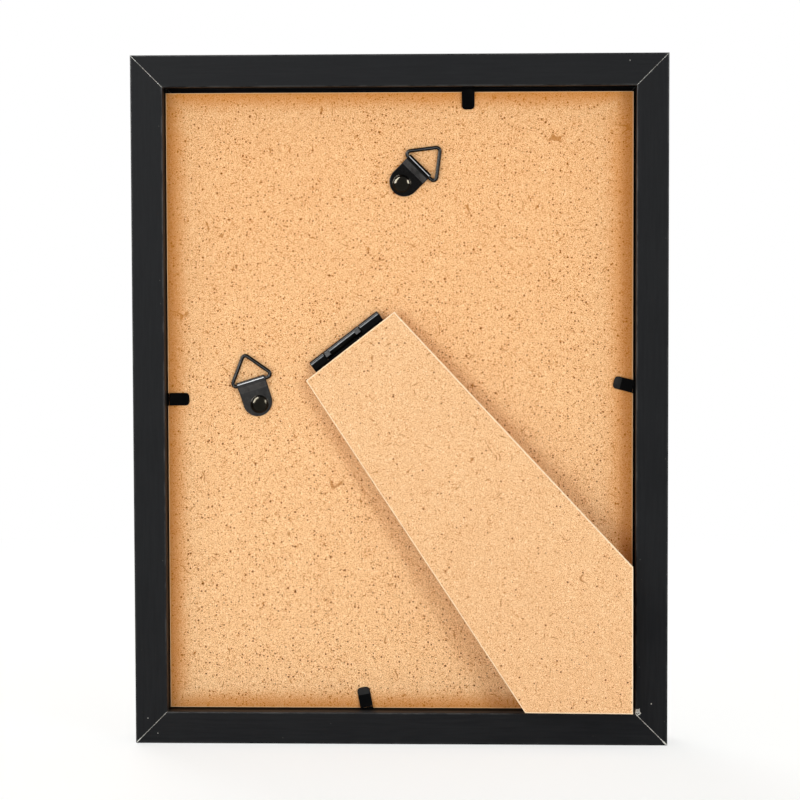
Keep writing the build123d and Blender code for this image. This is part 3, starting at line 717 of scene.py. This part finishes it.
# The sawn edge faces take the lighter core; a thin band along the face's outline is a painted highlight.
sawn = facing(tree, out_of_strut, 0.97, 0.8)
arris_highlight = ramp(tree, from_outline(tree, coords, out_of_strut), ARRIS_HIGHLIGHT_REACH * MM, 0.22 * MM)
sawn = reckon(tree, "MAXIMUM", sawn, arris_highlight)
colour = blend(tree, reckon(tree, "MULTIPLY", sawn, 0.8), colour, SAWN_AND_HIGHLIGHT)
tree.links.new(colour, shader.inputs["Base Color"])
dress("easel_strut", strut_board)


# Hangers: a strip of black steel folded double round a wire triangle, free to turn on one domed
# rivet through the panel. The triangle lies flat on the panel and flips up to hang on a hook.
STRAP_HALF_W, STRAP_T, STRAP_LEAD, STRAP_REACH = 4.75, 0.5, 1.0, 7.6
STRAP_LOW, STRAP_HIGH, STRAP_FOLD_RUN, STRAP_FOLD_R = 0.3, 0.85, 2.6, 0.6
ROLL_H, ROLL_R = 1.2, 0.9
WIRE_R, RING_BASE, RING_TIP, RING_CORNER_R, RING_SLIDE = 0.6, 14.8, 9.5, 1.1, -0.4
RING_DROP = asin((ROLL_H - WIRE_R - 0.06) / RING_TIP)
RIVET_SEAT, RIVET_R, RIVET_HEAD_R, RIVET_HEAD_H = 1.15, 1.5, 2.95, 1.6
RIVET_TAIL = ((RIVET_R, -1.9), (2.6, -1.9), (2.6, -2.4), (0, -2.4))
HANGERS = {  # place on the back, how far the strap lies beside its rivet, which way its painted grey reflection faces
    "portrait": (on_back(0.6, INNER_V - 30.8, 45.0), -0.15, (-0.59, 0, 0.81)),
    "landscape": (on_back(30.0 - INNER_U, -1.2, 107.3), 0.4, (-0.45, 0, 0.893)),
}
# Directions of the painted highlights: the crest of the strap's roll, and the top of the wire.
ROLL_CREST, UPWARDS = (0.3, 0, 0.954), (0, 0, 1)
DOME_TONE, STRAP_TONE, WIRE_TONE = (1.0, 0.88, 0.64, 1), (1.0, 0.93, 0.87, 1), (1.0, 0.93, 0.84, 1)


def folded_strap():
    """A strip that runs from its round end under the rivet, round the wire and back over itself. Its
    half width follows the round end's circle."""
    tail = STRAP_LEAD - STRAP_HALF_W * np.cos(np.linspace(0.02, pi / 2, 22))
    lower_x = np.concatenate([tail, np.linspace(STRAP_LEAD + 0.5, STRAP_REACH - 0.2, 8)])
    lower = np.stack([lower_x, np.full(len(lower_x), STRAP_LOW)], 1)
    angle = np.linspace(-pi / 2, pi / 2, 30)
    roll = np.stack([STRAP_REACH + ROLL_R * np.cos(angle), ROLL_H + ROLL_R * np.sin(angle)], 1)
    top = ROLL_H + ROLL_R
    brow, shoulder = (STRAP_REACH - ROLL_R, top), (STRAP_REACH - STRAP_FOLD_RUN, STRAP_HIGH)
    fold = (STRAP_REACH - 0.05, top), brow, shoulder, (STRAP_LEAD + 0.2, STRAP_HIGH)
    upper = bent_line(fold, STRAP_FOLD_R)
    end = np.stack([tail[::-1], np.full(len(tail), STRAP_HIGH)], 1)
    line = np.concatenate([lower, roll, upper, end])
    short = np.clip(STRAP_LEAD - line[:, 0], 0, STRAP_HALF_W)
    return strip(line, np.sqrt(np.maximum(STRAP_HALF_W**2 - short**2, 0.01)), STRAP_T)


def wire_triangle():
    """A round wire along a triangle with rounded corners, its base on the roll's axis, tip lowered."""
    half = RING_BASE / 2
    gap = 0.3 * half
    corners = (0, gap), (0, half), (RING_TIP, 0), (0, -half), (0, -gap)
    line = bent_line(corners, RING_CORNER_R)
    line = measured(line, np.linspace(0, np.linalg.norm(np.diff(line, axis=0), axis=1).sum(), 150))
    along = np.roll(line, -1, 0) - np.roll(line, 1, 0)
    along /= np.linalg.norm(along, axis=1, keepdims=True)
    angle = np.linspace(0, 2 * pi, 20, endpoint=False)
    out = WIRE_R * np.cos(angle)
    x = line[:, :1] - along[:, 1:] * out
    y = line[:, 1:] + along[:, :1] * out
    up = np.broadcast_to(WIRE_R * np.sin(angle), x.shape)
    c, s = cos(RING_DROP), sin(RING_DROP)
    return np.stack([x * c + up * s + STRAP_REACH, y + RING_SLIDE, up * c - x * s + ROLL_H], -1)


def domed_rivet():
    """A rivet turned from a profile: a dome that is part of a sphere, a rolled rim, shank and tail."""
    sphere_r = (RIVET_HEAD_R**2 + RIVET_HEAD_H**2) / (2 * RIVET_HEAD_H)
    lean = np.linspace(0, asin(RIVET_HEAD_R / sphere_r) * 0.97, 26)
    top = RIVET_SEAT + RIVET_HEAD_H
    dome = np.stack([sphere_r * np.sin(lean), top - sphere_r * (1 - np.cos(lean))], 1)
    rim = [(RIVET_HEAD_R, RIVET_SEAT + 0.05), (RIVET_HEAD_R - 0.04, RIVET_SEAT), (RIVET_R, RIVET_SEAT)]
    return turned(np.concatenate([dome, rim, RIVET_TAIL]), 64)


dome_finish = lacquer("rivet_lacquer", 0.10, 0.15, tone=DOME_TONE)
for use, (matrix, beside, reflection_way) in HANGERS.items():
    hanger = use + "_hanger_"
    crest, slope, up = (matrix[:, :3] @ way / MM for way in (ROLL_CREST, reflection_way, UPWARDS))
    # Each strap: a painted highlight on its roll's crest and a painted grey reflection on the fold's slope.
    finish = lacquer(use + "_strap_lacquer", 0.2, 0.08, crest, 0.9, slope, tone=STRAP_TONE)
    strap = skin(placed(matrix, folded_strap() + (0, beside, 0)))
    make_piece(use + "_strap_steel", [strap], finish, use + "_strap", "black_lacquer", hanger + "strap")
    finish = lacquer(use + "_wire_lacquer", 0.2, 0.10, up, 0.25, tone=WIRE_TONE)
    wire = skin(placed(matrix, wire_triangle() + (0, beside, 0)), loop=True)
    make_piece(use + "_ring_wire", [wire], finish, use + "_ring", "black_lacquer", hanger + "ring")
    dome = skin(placed(matrix, domed_rivet()))
    make_piece(use + "_rivet_dome", [dome], dome_finish, "frame", "black_lacquer", hanger + "rivet")


# Studio: a pale floor that keeps the frame's shadow and fades to the white background. Two soft boxes
# behind the frame light it, two cards show in the gloss only, and a third box lights the front. The
# camera stands where the photograph was taken from.
FLOOR_R, FLOOR_DROP, FLOOR_SIDES = 3.0, 0.2, 64
ROOM_TINT, ROOM_LIGHT, LAMP_TINT = (1.04, 0.985, 0.88, 1), 0.74, (0.64, 0.85, 1.0)
CAMERA_PLACE, CAMERA_TURN, CAMERA_LENS = (-0.03653, 0.88856, 0.16851), (86.302, 0.166, -177.642), 123.75


def seen_directly(tree):
    """1 for rays from the camera, and for those that gloss and glass send on, otherwise 0."""
    rays = add(tree, "LightPath").outputs
    shiny = reckon(tree, "MAXIMUM", rays["Is Glossy Ray"], rays["Is Transmission Ray"])
    return reckon(tree, "MAXIMUM", rays["Is Camera Ray"], shiny)


scene = bpy.context.scene
scene.view_settings.view_transform = "Standard"
world = bpy.data.worlds.new("white_studio")
scene.world = world
world.use_nodes = True
tree = world.node_tree
room = add(tree, "Background", {"Color": ROOM_TINT, "Strength": ROOM_LIGHT})
white = add(tree, "Background", {"Color": (1, 1, 1, 1), "Strength": 1.0})
sky = add(tree, "MixShader", {0: seen_directly(tree), 1: room.outputs[0], 2: white.outputs[0]})
tree.links.new(sky.outputs[0], tree.nodes["World Output"].inputs["Surface"])

pale_floor, tree, shader, coords = new_material("pale_floor")
away = add(tree, "VectorMath", {0: coords}, operation="LENGTH").outputs["Value"]
fade = reckon(tree, "MULTIPLY", ramp(tree, away, 0.2, 0.6, 0.7, 1.0), seen_directly(tree))
shader.inputs["Base Color"].default_value = (0.95, 0.95, 0.95, 1)
shader.inputs["Roughness"].default_value = 0.9
shader.inputs["Specular IOR Level"].default_value = 0.0
glow = add(tree, "Emission", {"Color": (1, 1, 1, 1), "Strength": 1.0})
mixed = add(tree, "MixShader", {0: fade, 1: shader.outputs[0], 2: glow.outputs[0]})
tree.links.new(mixed.outputs[0], tree.nodes["Material Output"].inputs["Surface"])
floor_mesh = bpy.data.meshes.new("floor")
disc = turned([(FLOOR_R, -FLOOR_DROP * MM)], FLOOR_SIDES)[0]
floor_mesh.from_pydata(disc.tolist(), [], [list(range(FLOOR_SIDES))])
floor_mesh.materials.append(pale_floor)
floor = bpy.data.objects.new("floor", floor_mesh)
scene.collection.objects.link(floor)


def lamp(name, place, aim, size, power, tint=(1, 1, 1), lights=True, shines=True):
    """A soft box of that width and height, turned to face the point it is aimed at. One that doesn't
    light shows only in gloss, as a white card does, and one that doesn't shine shows in none."""
    light = bpy.data.lights.new(name, "AREA")
    light.shape, light.size, light.size_y, light.energy = "RECTANGLE", *size, power
    light.color = tint
    made = bpy.data.objects.new(name, light)
    made.location = place
    made.rotation_euler = (Vector(place) - Vector(aim)).to_track_quat("Z", "Y").to_euler()
    made.visible_diffuse, made.visible_glossy = lights, shines
    scene.collection.objects.link(made)


middle = (0, 0, HALF_H * MM)
lamp("left_box", (0.25, 0.55, 0.07), middle, (0.3, 0.12), 1.17, LAMP_TINT, shines=False)
lamp("right_box", (-0.62, 0.92, 0.32), middle, (0.3, 0.3), 4.7, LAMP_TINT, shines=False)
lamp("left_card", (0.44, 0.12, 0.505), middle, (0.3, 0.7), 36.0, lights=False)
lamp("right_card", (-0.54, 0.13, 0.345), middle, (0.25, 0.3), 12.0, lights=False)
lamp("front_box", (0.5, -1.2, 0.6), middle, (0.8, 0.8), 15.0)

camera = bpy.data.objects.new("camera", bpy.data.cameras.new("camera"))
camera.location = CAMERA_PLACE
camera.rotation_euler = [radians(angle) for angle in CAMERA_TURN]
camera.data.sensor_width = 36.0
camera.data.lens = CAMERA_LENS
camera.data.clip_start = 0.01
scene.collection.objects.link(camera)
scene.camera = camera
